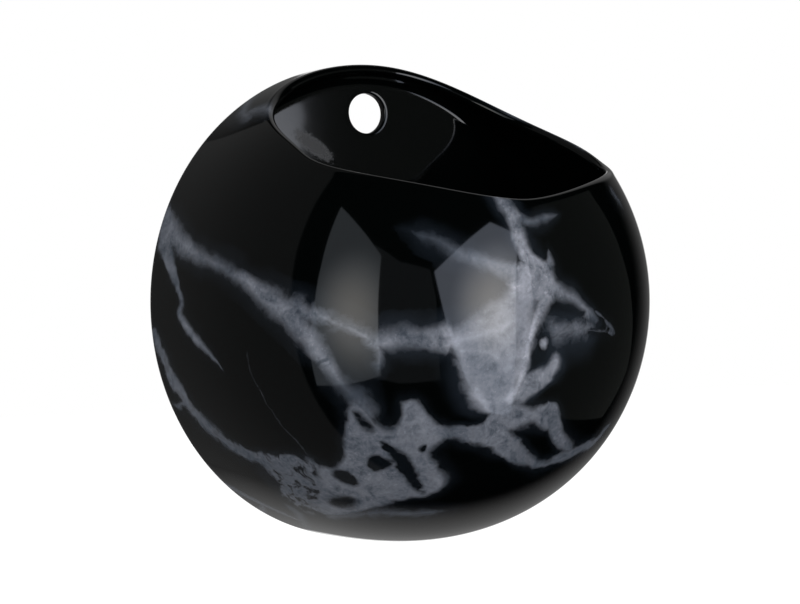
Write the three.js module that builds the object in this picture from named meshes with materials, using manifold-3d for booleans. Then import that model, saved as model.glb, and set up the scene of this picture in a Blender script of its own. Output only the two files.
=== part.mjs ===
// Wall planter: one slip-cast, glazed ceramic shell that hangs on a wall by a hole in its flat back.
//
// Millimetres, +Z up. The origin is the centre of the hanging hole, on the plane of the wall (Y = 0).
// The pot bulges out of the wall towards -Y and is symmetrical left to right.
//
// The body is turned about a level axis, square to the wall: a flat back with a raised foot ring, a
// rounded back edge and a deep dome. An oval mouth is cut through the top of the dome, on a plane that
// leans forward, and its edge is rolled into a smooth lip all the way round.

import * as THREE from 'three';
import { mergeVertices } from 'three/addons/utils/BufferGeometryUtils.js';
import Module from 'manifold-3d';

// ---- Driving dimensions ------------------------------------------------------------------------

// Body
const bodyDiameter = 180;
const bodyDepth = 116;            // wall to the front of the dome
const wallThickness = 3.6;
const domeRoundness = 2.5;        // exponent across the dome: 2 is an ellipse, more is squarer
const domeFullness = 3.05;        // exponent along the dome: more keeps it wide for longer

// Back
const backEdgeRadius = 2.5;       // round edge between the foot ring and the dome
const footRingWidth = 6;          // from the back edge's round to the recess
const footRingInnerRadius = 1.2;  // round edge and round root on the inside of the foot ring
const backRecess = 4;             // the back panel stands off the wall by this much
const insideCornerRadius = 5;     // slip-filled corner between the back panel and the wall

// Hanging hole
const hangingHoleDiameter = 15.4;
const hangingHoleBelowTop = 18.2; // hole centre to the top of the body
const hangingHoleEdgeRadius = 1.2;

// Mouth and lip
const mouthWidth = 129.5;
const mouthWidestFromRear = 70;   // along the mouth, from the rear of the lip to its widest place
const mouthFrontSquareness = 1.85;  // exponents of the oval: 2 is an ellipse, more is squarer
const mouthRearSquareness = 2.45;
const rearLipGap = 1.4;           // inside face of the back panel to the rear of the mouth
const frontLipHeight = 34;        // front of the mouth above the body's axis
const lipRadius = 1.9;            // rolled lip, a touch fuller than the wall

// Facets
const turnSteps = 64;
const domeSteps = 18;
const cornerSteps = 4;
const lipSteps = 88;
const lipSides = 10;
const holeSteps = 28;
const domeStepEase = 1.15;        // more than 1 crowds the dome's facets towards its back edge
const mergeTolerance = 1e-4;

// Glaze
const glazeColour = 0x16191b;
const glazeRoughness = 0.12;

// ---- Sizes that follow from them ---------------------------------------------------------------

const bodyRadius = bodyDiameter / 2;
const innerRadius = bodyRadius - wallThickness;
const domeLength = bodyDepth - backEdgeRadius;
const recessRadius = bodyRadius - backEdgeRadius - footRingWidth;
const backInside = backRecess + wallThickness;
const holeRadius = hangingHoleDiameter / 2;
const axisHeight = hangingHoleBelowTop - bodyRadius;  // the body's axis, below the hole
const cutterReach = 6;            // how far the mouth's cutter runs past the middle of the wall
const holeCutterReach = 1;        // and the hole's cutter past each face of the back panel
const outlineLead = 1;            // the dome's points start this far past the corner before it

// ---- Solids ------------------------------------------------------------------------------------

const wasm = await Module();
wasm.setup();

function toSolid(geometry) {
  const bare = geometry.clone();
  bare.deleteAttribute('normal');
  bare.deleteAttribute('uv');
  const merged = mergeVertices(bare, mergeTolerance);
  return new wasm.Manifold(new wasm.Mesh({
    numProp: 3,
    vertProperties: Float32Array.from(merged.attributes.position.array),
    triVerts: Uint32Array.from(merged.index.array),
  }));
}

function toGeometry(solid) {
  const mesh = solid.getMesh();
  const geometry = new THREE.BufferGeometry();
  geometry.setAttribute('position', new THREE.BufferAttribute(mesh.vertProperties, 3));
  geometry.setIndex(new THREE.BufferAttribute(mesh.triVerts, 1));
  geometry.computeVertexNormals();
  return geometry;
}

// Turns a profile about the Y axis. Its points are (radius, distance from the wall), listed from the
// back of the pot to the front, on the axis at both ends.
function turned(profile, steps) {
  const points = profile.map((p) => new THREE.Vector2(Math.max(p.x, 0), -p.y)).reverse();
  return toSolid(new THREE.LatheGeometry(points, steps));
}

// Points on a quarter circle from one direction to another, given as angles in quarter turns.
function quarterArc(centreRadius, centreDepth, radius, fromQuarter, toQuarter) {
  const points = [];
  for (let i = 0; i <= cornerSteps; i += 1) {
    const angle = THREE.MathUtils.lerp(fromQuarter, toQuarter, i / cornerSteps) * Math.PI / 2;
    points.push(new THREE.Vector2(
      centreRadius + radius * Math.cos(angle),
      centreDepth + radius * Math.sin(angle),
    ));
  }
  return points;
}

// ---- Dome --------------------------------------------------------------------------------------

// The dome's outline is a superellipse: (radius / bodyRadius)^roundness + along^fullness = 1, where
// along runs from 0 at the back edge to 1 at the front.
function domeNormal(radius, along) {
  return new THREE.Vector2(
    domeRoundness * Math.pow(Math.max(radius, 0) / bodyRadius, domeRoundness - 1) / bodyRadius,
    domeFullness * Math.pow(Math.max(along, 0), domeFullness - 1) / domeLength,
  ).normalize();
}

// The outline moved inwards by an offset, from just in front of startDepth to the axis.
function domeOutline(offset, startDepth) {
  const points = [];
  for (let i = 0; i <= domeSteps; i += 1) {
    const angle = Math.pow(i / domeSteps, domeStepEase) * Math.PI / 2;
    const along = Math.pow(Math.sin(angle), 2 / domeFullness);
    const radius = bodyRadius * Math.pow(Math.max(Math.cos(angle), 0), 2 / domeRoundness);
    const normal = domeNormal(radius, along);
    const point = new THREE.Vector2(
      radius - offset * normal.x,
      backEdgeRadius + domeLength * along - offset * normal.y,
    );
    if (point.y > startDepth + outlineLead) {
      points.push(point);
    }
  }
  points[points.length - 1].x = 0;
  return points;
}

function bodyOutside() {
  const ringRound = footRingInnerRadius;
  return turned([
    new THREE.Vector2(0, backRecess),
    ...quarterArc(recessRadius - ringRound, backRecess - ringRound, ringRound, 1, 0),
    ...quarterArc(recessRadius + ringRound, ringRound, ringRound, -2, -1),
    ...quarterArc(bodyRadius - backEdgeRadius, backEdgeRadius, backEdgeRadius, -1, 0),
    ...domeOutline(0, backEdgeRadius),
  ], turnSteps);
}

function bodyInside() {
  const corner = insideCornerRadius;
  return turned([
    new THREE.Vector2(0, backInside),
    ...quarterArc(innerRadius - corner, backInside + corner, corner, -1, 0),
    ...domeOutline(wallThickness, backInside + corner),
  ], turnSteps);
}

// ---- Mouth and lip -----------------------------------------------------------------------------

// More than 0 outside the dome, less inside it.
function outsideDome(point) {
  const along = Math.max((-point.y - backEdgeRadius) / domeLength, 0);
  const radius = Math.hypot(point.x, point.z);
  return Math.pow(radius / bodyRadius, domeRoundness) + Math.pow(along, domeFullness) - 1;
}

function surfaceNormal(point) {
  const radius = Math.hypot(point.x, point.z);
  const flat = domeNormal(radius, (-point.y - backEdgeRadius) / domeLength);
  return new THREE.Vector3(flat.x * point.x / radius, -flat.y, flat.x * point.z / radius);
}

// The mouth's plane joins the top of the body, just in front of the back panel, to the front of the
// lip. The oval is drawn on it and projected square to it on to the dome.
const rearLip = new THREE.Vector3(0, -(backInside + rearLipGap), bodyRadius);
const frontAlong = Math.pow(1 - Math.pow(frontLipHeight / bodyRadius, domeRoundness), 1 / domeFullness);
const frontLip = new THREE.Vector3(0, -(backEdgeRadius + domeLength * frontAlong), frontLipHeight);
const mouthForward = frontLip.clone().sub(rearLip).normalize();
const mouthUp = new THREE.Vector3(0, mouthForward.z, -mouthForward.y);
const mouthCentre = rearLip.clone().addScaledVector(mouthForward, mouthWidestFromRear);
const mouthFrontLength = rearLip.distanceTo(frontLip) - mouthWidestFromRear;

function signedPower(value, exponent) {
  return Math.sign(value) * Math.pow(Math.abs(value), exponent);
}

// The point of the mouth's edge on the outside of the dome, at a turn of 0 to 1 from the front.
function mouthEdge(turn) {
  const cosine = Math.cos(2 * Math.PI * turn);
  const sine = Math.sin(2 * Math.PI * turn);
  const inFront = cosine > 0;
  const exponent = 2 / (inFront ? mouthFrontSquareness : mouthRearSquareness);
  const length = inFront ? mouthFrontLength : mouthWidestFromRear;
  const onPlane = mouthCentre.clone()
    .addScaledVector(mouthForward, length * signedPower(cosine, exponent));
  onPlane.x = mouthWidth / 2 * signedPower(sine, exponent);
  let inside = -bodyRadius;
  let outside = bodyRadius;
  const halvings = 40;
  for (let i = 0; i < halvings; i += 1) {
    const middle = (inside + outside) / 2;
    if (outsideDome(onPlane.clone().addScaledVector(mouthUp, middle)) > 0) {
      outside = middle;
    } else {
      inside = middle;
    }
  }
  return onPlane.addScaledVector(mouthUp, inside);
}

// The middle of the wall under the mouth's edge: the line that the lip is rolled round.
class LipCurve extends THREE.Curve {
  getPoint(turn, target = new THREE.Vector3()) {
    const edge = mouthEdge(turn);
    return target.copy(edge).addScaledVector(surfaceNormal(edge), -wallThickness / 2);
  }
}

// A plug that cuts the wall square to its surface all round the mouth: a band along the wall's normals,
// closed by a point inside the body and a point above it.
function mouthCutter(lip) {
  const positions = [];
  for (let i = 0; i < lipSteps; i += 1) {
    const turn = lip.getUtoTmapping(i / lipSteps);
    const middle = lip.getPoint(turn);
    const normal = surfaceNormal(mouthEdge(turn));
    positions.push(...middle.clone().addScaledVector(normal, -cutterReach));
    positions.push(...middle.clone().addScaledVector(normal, cutterReach));
  }
  const below = mouthCentre.clone().addScaledVector(mouthUp, -bodyRadius / 2);
  const above = mouthCentre.clone().addScaledVector(mouthUp, bodyRadius);
  positions.push(...below, ...above);
  const belowIndex = 2 * lipSteps;
  const aboveIndex = belowIndex + 1;
  const triangles = [];
  for (let i = 0; i < lipSteps; i += 1) {
    const low = 2 * i;
    const high = low + 1;
    const nextLow = 2 * ((i + 1) % lipSteps);
    const nextHigh = nextLow + 1;
    triangles.push(low, nextLow, high, nextLow, nextHigh, high);
    triangles.push(belowIndex, nextLow, low);
    triangles.push(aboveIndex, high, nextHigh);
  }
  const geometry = new THREE.BufferGeometry();
  geometry.setAttribute('position', new THREE.Float32BufferAttribute(positions, 3));
  geometry.setIndex(triangles);
  return toSolid(geometry);
}

function rolledLip(lip) {
  return toSolid(new THREE.TubeGeometry(lip, lipSteps, lipRadius, lipSides, true));
}

// ---- Hanging hole ------------------------------------------------------------------------------

// A plug with a narrow waist, so that the hole's edge is rounded on both faces of the back panel.
function holeCutter() {
  const round = hangingHoleEdgeRadius;
  const wide = holeRadius + round;
  return turned([
    new THREE.Vector2(0, backRecess - holeCutterReach),
    new THREE.Vector2(wide, backRecess - holeCutterReach),
    ...quarterArc(wide, backRecess + round, round, -1, -2),
    ...quarterArc(wide, backInside - round, round, 2, 1),
    new THREE.Vector2(wide, backInside + holeCutterReach),
    new THREE.Vector2(0, backInside + holeCutterReach),
  ], holeSteps).translate([0, 0, -axisHeight]);
}

// ---- The pot -----------------------------------------------------------------------------------

function planterShell() {
  const lip = new LipCurve();
  return bodyOutside()
    .subtract(bodyInside())
    .subtract(mouthCutter(lip))
    .add(rolledLip(lip))
    .subtract(holeCutter())
    .translate([0, 0, axisHeight]);
}

const glaze = new THREE.MeshStandardMaterial({ color: glazeColour, roughness: glazeRoughness });

const planter = new THREE.Group();
planter.name = 'wall_planter';

const shell = new THREE.Mesh(toGeometry(planterShell()), glaze);
shell.name = 'planter_shell';
planter.add(shell);

export default planter;
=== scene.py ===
"""A glazed ceramic wall planter with grey marbling on black, and the plain studio it is photographed in."""

import math

import bmesh
import bpy
import numpy as np
from bpy.props import FloatProperty, FloatVectorProperty, PointerProperty
from mathutils import Matrix, Vector


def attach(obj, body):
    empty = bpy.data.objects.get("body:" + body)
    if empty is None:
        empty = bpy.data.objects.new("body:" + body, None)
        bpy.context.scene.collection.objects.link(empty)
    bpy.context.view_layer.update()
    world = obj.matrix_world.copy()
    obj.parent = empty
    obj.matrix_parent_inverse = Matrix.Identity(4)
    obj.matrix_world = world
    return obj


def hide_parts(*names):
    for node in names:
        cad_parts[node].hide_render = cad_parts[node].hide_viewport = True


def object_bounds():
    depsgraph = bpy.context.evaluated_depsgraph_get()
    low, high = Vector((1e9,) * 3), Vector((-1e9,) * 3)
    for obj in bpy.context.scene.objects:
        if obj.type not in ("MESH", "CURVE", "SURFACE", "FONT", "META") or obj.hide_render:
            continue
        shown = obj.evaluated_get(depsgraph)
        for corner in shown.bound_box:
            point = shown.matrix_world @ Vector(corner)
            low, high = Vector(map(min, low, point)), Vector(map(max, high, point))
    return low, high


bl_info = {
    "name": "Marbled Wall Planter",
    "version": (1, 0, 0),
    "blender": (4, 5, 0),
    "location": "View3D > Sidebar > Wall Planter",
    "description": "Models a glazed wall planter and the studio round it",
    "category": "Add Mesh",
}

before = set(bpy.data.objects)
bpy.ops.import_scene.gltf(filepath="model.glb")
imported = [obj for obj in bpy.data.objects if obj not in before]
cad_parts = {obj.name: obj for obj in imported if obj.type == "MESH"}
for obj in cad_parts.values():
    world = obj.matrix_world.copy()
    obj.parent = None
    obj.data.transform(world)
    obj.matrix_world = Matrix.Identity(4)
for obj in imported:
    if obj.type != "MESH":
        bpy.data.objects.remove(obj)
CAD_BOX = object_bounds()

MM = 0.001
IMAGE_WIDTH, IMAGE_HEIGHT = 800, 604


def linear(colour):
    """An sRGB hex value such as 0x808080 as linear red, green and blue."""
    channels = [(colour >> shift & 255) / 255 for shift in (16, 8, 0)]
    return [c / 12.92 if c <= 0.04045 else ((c + 0.055) / 1.055) ** 2.4 for c in channels]


# ---- What a user would change ---------------------------------------------------------------------


def length(name, description, millimetres):
    return FloatProperty(
        name=name, description=description, default=millimetres * MM, min=0, unit="LENGTH"
    )


def colour(name, description, hex_value):
    return FloatVectorProperty(
        name=name, description=description, default=linear(hex_value), size=3, min=0, max=1,
        subtype="COLOR",
    )


class PotSizes(bpy.types.PropertyGroup):
    """Sizes of the pot"""

    body_diameter: FloatProperty(
        name="Body diameter", description="Across the round body, as the frame has it",
        default=CAD_BOX[1].x - CAD_BOX[0].x, min=0, unit="LENGTH",
    )
    body_depth: FloatProperty(
        name="Body depth", description="From the wall to the front of the dome",
        default=CAD_BOX[1].y - CAD_BOX[0].y, min=0, unit="LENGTH",
    )
    wall: length("Wall", "Thickness of the cast wall", 3.6)
    lip_radius: length("Lip radius", "Half the thickness of the rolled lip", 1.9)
    mouth_width: length("Mouth width", "Across the mouth at its widest", 129.5)
    mouth_widest: length("Mouth widest", "From the rear of the mouth to its widest place", 70)
    front_lip_height: length("Front lip height", "Front of the mouth above the body's axis", 34)
    hole_diameter: length("Hole diameter", "Hanging hole in the back", 15.4)
    hole_below_top: length("Hole below top", "Hole's centre to the top of the body", 18.2)
    back_recess: length("Back recess", "From the wall to the back panel", 4)
    foot_ring: length("Foot ring", "From the back edge's round to the recess", 6)


class GlazeColours(bpy.types.PropertyGroup):
    """Colours of the pot"""

    black: colour("Black glaze", "Ground colour of the glaze", 0x020303)
    haze: colour("Haze", "Finest pigment, round the marbling", 0x20262E)
    grey: colour("Grey marbling", "Thin marbling", 0x3A4049)
    pale: colour("Pale marbling", "Thick marbling", 0xA5A8B3)
    clay: colour("Bare clay", "Unglazed land of the foot ring", 0x8F8A80)


class StudioSettings(bpy.types.PropertyGroup):
    """Light and floor of the studio"""

    floor_drop: length("Floor drop", "From the hanging hole down to the floor", 450)
    softbox: FloatProperty(
        name="Softbox", description="Brightness of the softboxes, as the glaze mirrors them",
        default=1.5, min=0,
    )
    fill: FloatProperty(name="Fill", description="Even light from all round", default=0.4, min=0)


# ---- Shape of the pot -------------------------------------------------------------------------------
# Everything here is in millimetres round the body's own level axis: x to the right, y into the wall and
# z up. Depth is measured out from the wall, so it is -y.

DOME_ROUNDNESS = 2.5  # exponent across the dome: 2 is an ellipse, more is squarer
DOME_FULLNESS = 3.05  # exponent along the dome: more keeps it wide for longer
BACK_EDGE_RADIUS = 2.5
INSIDE_CORNER_RADIUS = 5
RECESS_ROUND = 0.7
FOOT_ROUND = 1.2
HOLE_ROUND = 0.9
REAR_LIP_GAP = 1.4  # inside face of the back panel to the rear of the mouth
MOUTH_FRONT_SQUARENESS = (1.89, 1.73)  # on the left and the right, as it isn't quite even
MOUTH_REAR_SQUARENESS = (2.42, 2.55)

PROFILE_SAMPLES, CORNER_SAMPLES, MOUTH_SAMPLES = 3000, 60, 2400
MOUTH_HALVINGS = 40  # steps that close in on the dome along the mouth
TURNS = 86  # cage points round the mouth, and so round the pot
DOME_RINGS = 34
INNER_RINGS = 8
FIRST_GAP = 1.6  # mm along the dome from the lip to the next ring
LARGEST_FIRST_GAP = 0.25  # of the way to the rim, where that is less
FLAT_MARGIN = 1.5  # mm of a flat panel next to its rounded edge
SMOOTHING = 2


class Profile:
    """A line that is turned round the body's axis, looked up by its reach: 0 on the axis, 1 at its end."""

    def __init__(self, radius, depth, normal_radius, normal_depth):
        steps = np.hypot(np.diff(radius), np.diff(depth))
        self.length = steps.sum()
        self.reach = np.concatenate([[0], np.cumsum(steps)]) / self.length
        self.columns = (radius, depth, normal_radius, normal_depth)

    def at(self, reach):
        return [np.interp(reach, self.reach, column) for column in self.columns]

    def nearest(self, radius, depth):
        away = (self.columns[0] - radius[:, None]) ** 2 + (self.columns[1] - depth[:, None]) ** 2
        return self.reach[away.argmin(1)]

    def turned(self, disc):
        """Points for places on the disc, whose distance from its centre is the reach."""
        reach = np.linalg.norm(disc, axis=1)
        across = disc / np.maximum(reach, 1e-9)[:, None]
        radius, depth, _, _ = self.at(reach)
        return on_circle(radius, depth, across)


def on_circle(radius, depth, across):
    """Points at a radius and depth, in the directions across = (x, z)."""
    return np.stack([radius * across[:, 0], -depth * np.ones(len(across)), radius * across[:, 1]], 1)


def unit(vectors):
    return vectors / np.linalg.norm(vectors, axis=-1, keepdims=True)


class PotShape:
    """The pot's surfaces, from its sizes."""

    def __init__(self, sizes):
        self.radius = sizes.body_diameter / 2 / MM
        self.dome_length = sizes.body_depth / MM - BACK_EDGE_RADIUS
        self.wall = sizes.wall / MM
        self.lip = sizes.lip_radius / MM
        self.recess = sizes.back_recess / MM
        self.recess_radius = self.radius - BACK_EDGE_RADIUS - sizes.foot_ring / MM
        self.back_inside = self.recess + self.wall
        self.hole_radius = sizes.hole_diameter / 2 / MM
        self.axis_height = sizes.hole_below_top / MM - self.radius
        self.hole_height = -self.axis_height
        self.outer = self.outer_profile()
        self.inner = self.inner_profile()
        self.place_mouth(sizes)

    def outer_profile(self):
        angle = np.linspace(math.pi / 2, 0, PROFILE_SAMPLES)
        along = np.sin(angle) ** (2 / DOME_FULLNESS)
        radius = self.radius * np.maximum(np.cos(angle), 0) ** (2 / DOME_ROUNDNESS)
        radius[0] = 0
        normal = self.dome_normal(radius, along)
        return Profile(radius, BACK_EDGE_RADIUS + self.dome_length * along, *normal.T)

    def inner_profile(self):
        radius, depth, across, out = self.outer.columns
        radius, depth = radius - self.wall * across, depth - self.wall * out
        corner_depth = self.back_inside + INSIDE_CORNER_RADIUS
        keep = (depth > corner_depth) & (radius >= 0)
        angle = np.linspace(0, -math.pi / 2, CORNER_SAMPLES)
        centre = self.radius - self.wall - INSIDE_CORNER_RADIUS
        return Profile(
            np.concatenate([[0], radius[keep][1:], centre + INSIDE_CORNER_RADIUS * np.cos(angle)]),
            np.concatenate([depth[keep], corner_depth + INSIDE_CORNER_RADIUS * np.sin(angle)]),
            np.concatenate([across[keep], np.cos(angle)]),
            np.concatenate([out[keep], np.sin(angle)]),
        )

    def dome_normal(self, radius, along):
        across = DOME_ROUNDNESS * (radius / self.radius) ** (DOME_ROUNDNESS - 1) / self.radius
        out = DOME_FULLNESS * np.maximum(along, 0) ** (DOME_FULLNESS - 1) / self.dome_length
        return unit(np.stack([across, out], -1))

    def outside(self, points):
        """More than 0 outside the dome, less inside it."""
        along = np.maximum((-points[..., 1] - BACK_EDGE_RADIUS) / self.dome_length, 0)
        radius = np.hypot(points[..., 0], points[..., 2])
        return (radius / self.radius) ** DOME_ROUNDNESS + along**DOME_FULLNESS - 1

    def normals(self, points):
        radius = np.maximum(np.hypot(points[:, 0], points[:, 2]), 1e-6)
        flat = self.dome_normal(radius, (-points[:, 1] - BACK_EDGE_RADIUS) / self.dome_length)
        return np.stack(
            [flat[:, 0] * points[:, 0] / radius, -flat[:, 1], flat[:, 0] * points[:, 2] / radius], 1
        )

    def disc(self, points, profile=None):
        """The disc places of points on a profile that is turned round, or else on the outside."""
        profile = profile or self.outer
        radius = np.hypot(points[:, 0], points[:, 2])
        reach = profile.nearest(radius, -points[:, 1])
        across = np.stack([points[:, 0], points[:, 2]], 1) / np.maximum(radius, 1e-9)[:, None]
        return reach[:, None] * across

    def place_mouth(self, sizes):
        """The mouth is an oval on a plane that leans forward, projected square to it on to the dome."""
        height = sizes.front_lip_height / MM
        along = (1 - (height / self.radius) ** DOME_ROUNDNESS) ** (1 / DOME_FULLNESS)
        front = np.array([0, -(BACK_EDGE_RADIUS + self.dome_length * along), height])
        rear = np.array([0, -(self.back_inside + REAR_LIP_GAP), self.radius])
        self.mouth_forward = unit(front - rear)
        self.mouth_up = np.array([0, self.mouth_forward[2], -self.mouth_forward[1]])
        self.mouth_rear_length = sizes.mouth_widest / MM
        self.mouth_front_length = np.linalg.norm(front - rear) - self.mouth_rear_length
        self.mouth_centre = rear + self.mouth_forward * self.mouth_rear_length
        self.mouth_half_width = sizes.mouth_width / 2 / MM

    def mouth_edge(self, turn):
        """Points of the mouth's edge on the outside of the dome, at turns of 0 to 1 from the front."""
        cosine, sine = np.cos(2 * math.pi * turn), np.sin(2 * math.pi * turn)
        is_right = (sine > 0).astype(int)
        exponent = 2 / np.where(
            cosine > 0, np.take(MOUTH_FRONT_SQUARENESS, is_right), np.take(MOUTH_REAR_SQUARENESS, is_right)
        )
        reach = np.where(cosine > 0, self.mouth_front_length, self.mouth_rear_length)
        along = reach * np.sign(cosine) * np.abs(cosine) ** exponent
        points = self.mouth_centre + along[:, None] * self.mouth_forward
        points[:, 0] = self.mouth_half_width * np.sign(sine) * np.abs(sine) ** exponent
        inside, outside = np.full(len(turn), -self.radius), np.full(len(turn), self.radius)
        for _ in range(MOUTH_HALVINGS):
            middle = (inside + outside) / 2
            is_out = self.outside(points + middle[:, None] * self.mouth_up) > 0
            outside = np.where(is_out, middle, outside)
            inside = np.where(is_out, inside, middle)
        return points + inside[:, None] * self.mouth_up

    def spaced_turns(self, count):
        """Turns that share the points fairly between the mouth's edge and the back of the pot."""
        fine = np.linspace(0, 1, MOUTH_SAMPLES)
        edge = self.mouth_edge(fine)
        _, back = rays_to_rim(self.disc(edge))
        total = np.zeros(len(fine))
        for line in (edge, back):
            steps = np.concatenate([[0], np.cumsum(np.linalg.norm(np.diff(line, axis=0), axis=1))])
            total += steps / steps[-1]
        return np.interp(np.arange(count) / count * total[-1], total, fine)


def rays_to_rim(oval):
    """Rays from the middle of an oval on the disc, out through each of its points to the disc's rim."""
    middle = np.array([0, (oval[:, 1].min() + oval[:, 1].max()) / 2])
    out = unit(oval - middle)
    dot = out @ middle
    far = -dot + np.sqrt(dot**2 - middle @ middle + 1)
    return middle, middle + far[:, None] * out


def between(start, end, profile, count):
    """Disc places from start to end: the first at a real distance in, then evenly on."""
    away = np.linalg.norm(end - start, axis=1)
    gap = np.minimum(FIRST_GAP / profile.length / away, LARGEST_FIRST_GAP)
    return [
        start + (end - start) * (gap + (1 - gap) * i / count)[:, None] for i in range(count)
    ]


def shell_rings(shape):
    """Rings of points over the whole skin: round the lip, down the inside, across the back panel to the
    hole, through it, over the back and the foot ring, and up the outside of the dome to the lip again.
    Each comes with how far it is glazed with marbling."""
    turn = shape.spaced_turns(TURNS)
    edge = shape.mouth_edge(turn)
    normal = shape.normals(edge)
    ahead, behind = shape.mouth_edge(turn + 1e-3), shape.mouth_edge(turn - 1e-3)
    across = unit(np.cross(normal, ahead - behind))
    middle = edge - normal * shape.wall / 2
    rings = []

    for angle, marbled in ((0, 1), (30, 1), (60, 0.6), (90, 0), (120, 0), (150, 0), (180, 0)):
        turned = math.radians(angle)
        ring = middle + shape.lip * (math.cos(turned) * normal + math.sin(turned) * across)
        rings.append((ring, marbled))

    inner_edge = shape.disc(edge - normal * shape.wall, shape.inner)
    _, inner_rim = rays_to_rim(inner_edge)
    for place in between(inner_edge, inner_rim, shape.inner, INNER_RINGS):
        rings.append((shape.inner.turned(place), 0))
    rings.append((shape.inner.turned(inner_rim), 0))

    disc_edge = shape.disc(edge)
    _, outer_rim = rays_to_rim(disc_edge)
    hole_centre = np.array([0, shape.hole_height])
    root_radius = shape.recess_radius - RECESS_ROUND
    inside_corner = shape.radius - shape.wall - INSIDE_CORNER_RADIUS
    from_inside = unit(inner_rim * inside_corner - hole_centre)
    from_behind = unit(outer_rim * root_radius - hole_centre)

    def hole_ring(radius, depth, mix):
        ray = unit(from_inside * (1 - mix) + from_behind * mix)
        flat = hole_centre + ray * radius
        return np.stack([flat[:, 0], np.full(TURNS, -depth), flat[:, 1]], 1), 0

    wide = shape.hole_radius + HOLE_ROUND
    flat_inside = on_circle(np.full(TURNS, inside_corner - FLAT_MARGIN), shape.back_inside, unit(inner_rim))
    rings += [(flat_inside, 0), hole_ring(wide + FLAT_MARGIN, shape.back_inside, 0)]
    for angle in (0, 30, 60, 90):
        turned = math.radians(angle)
        rings.append(hole_ring(
            wide - HOLE_ROUND * math.sin(turned),
            shape.back_inside - HOLE_ROUND * (1 - math.cos(turned)), 0,
        ))
    for angle in (90, 60, 30, 0):
        turned = math.radians(angle)
        rings.append(hole_ring(
            wide - HOLE_ROUND * math.sin(turned),
            shape.recess + HOLE_ROUND * (1 - math.cos(turned)), 1,
        ))

    def back_ring(radius, depth, marbled=0):
        rings.append((on_circle(np.full(TURNS, radius), depth, outer_rim), marbled))

    rings.append(hole_ring(wide + FLAT_MARGIN, shape.recess, 1))
    back_ring(root_radius - FLAT_MARGIN, shape.recess)
    for angle in (90, 45, 0):
        turned = math.radians(angle)
        back_ring(root_radius + RECESS_ROUND * math.cos(turned),
                  shape.recess - RECESS_ROUND * (1 - math.sin(turned)))
    for angle in (0, 45, 90):
        turned = math.radians(angle)
        back_ring(shape.recess_radius + FOOT_ROUND * (1 - math.cos(turned)),
                  FOOT_ROUND * (1 - math.sin(turned)))
    for angle in (90, 60, 30, 0):
        turned = math.radians(angle)
        back_ring(shape.radius - BACK_EDGE_RADIUS * (1 - math.cos(turned)),
                  BACK_EDGE_RADIUS * (1 - math.sin(turned)), 0 if angle == 90 else 1)

    for place in reversed(between(disc_edge, outer_rim, shape.outer, DOME_RINGS)):
        rings.append((shape.outer.turned(place), 1))
    rings.append(rings[0])
    return rings


# ---- Modelling --------------------------------------------------------------------------------------


def loft(name, rings):
    """A skin through rings of points. A circle is added and laid on the first ring, its edges are extruded
    to each ring in turn, and the last ring, which lies on the first, is merged with it."""
    bpy.ops.object.select_all(action="DESELECT")
    bpy.ops.mesh.primitive_circle_add(vertices=len(rings[0][0]), radius=0.05)
    piece = bpy.context.object
    piece.name = piece.data.name = name
    bpy.ops.object.mode_set(mode="EDIT")
    bpy.ops.mesh.select_mode(type="EDGE")
    mesh = bmesh.from_edit_mesh(piece.data)
    place = mesh.verts.layers.int.new("place")
    mesh.verts.layers.float.new("marbled")
    for i, vertex in enumerate(mesh.verts):
        vertex[place] = i
    for i, (ring, marbled) in enumerate(rings):
        if i:
            bpy.ops.mesh.extrude_edges_move()
        mesh = bmesh.from_edit_mesh(piece.data)
        place = mesh.verts.layers.int["place"]
        share = mesh.verts.layers.float["marbled"]
        for vertex in mesh.verts:
            if vertex.select:
                vertex.co = ring[vertex[place]]
                vertex[share] = marbled
        bmesh.update_edit_mesh(piece.data)
    bpy.ops.mesh.select_all(action="SELECT")
    bpy.ops.mesh.remove_doubles(threshold=1e-6)
    bpy.ops.mesh.normals_make_consistent(inside=False)
    bpy.ops.object.mode_set(mode="OBJECT")
    piece.data.attributes.remove(piece.data.attributes["place"])
    return piece


def smooth(piece, levels):
    bpy.ops.object.modifier_add(type="SUBSURF")
    modifier = piece.modifiers[-1]
    modifier.levels = modifier.render_levels = levels
    bpy.ops.object.modifier_apply(modifier=modifier.name)
    bpy.ops.object.shade_smooth()


def emitter(name, corners, material):
    """A flat panel of the studio, with its corners laid on the points given."""
    bpy.ops.object.select_all(action="DESELECT")
    bpy.ops.mesh.primitive_circle_add(vertices=len(corners), fill_type="NGON")
    panel = bpy.context.object
    panel.name = name
    bpy.ops.object.mode_set(mode="EDIT")
    mesh = bmesh.from_edit_mesh(panel.data)
    mesh.verts.ensure_lookup_table()
    for vertex, corner in zip(mesh.verts, corners):
        vertex.co = corner
    bmesh.update_edit_mesh(panel.data)
    bpy.ops.object.mode_set(mode="OBJECT")
    panel.data.materials.append(material)
    panel.visible_camera = False
    panel.visible_diffuse = False
    panel.visible_shadow = False
    return panel


# ---- The photograph's view --------------------------------------------------------------------------

VIEW_AZIMUTH = math.radians(-33)
VIEW_ELEVATION = math.radians(0.42)
VIEW_ROLL = math.radians(0.63)
VIEW_DISTANCE = 900  # mm from the point looked at
VIEW_FOCAL = 2467  # pixels
LOOKED_AT = np.array([0, -54, 0])  # inside the pot, on its axis
SEEN_AT = np.array([435.75, 301.6])  # where that point is in the picture
SENSOR_WIDTH = 36  # mm
CLIP_NEAR, CLIP_FAR = 0.01, 100  # metres

# A ray is searched for the dome this far in mm to either side of VIEW_DISTANCE, at this many places,
# and the place found is then closed in on by halving.
SEARCH_REACH, SEARCH_PLACES, SEARCH_HALVINGS = 150, 601, 30


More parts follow.
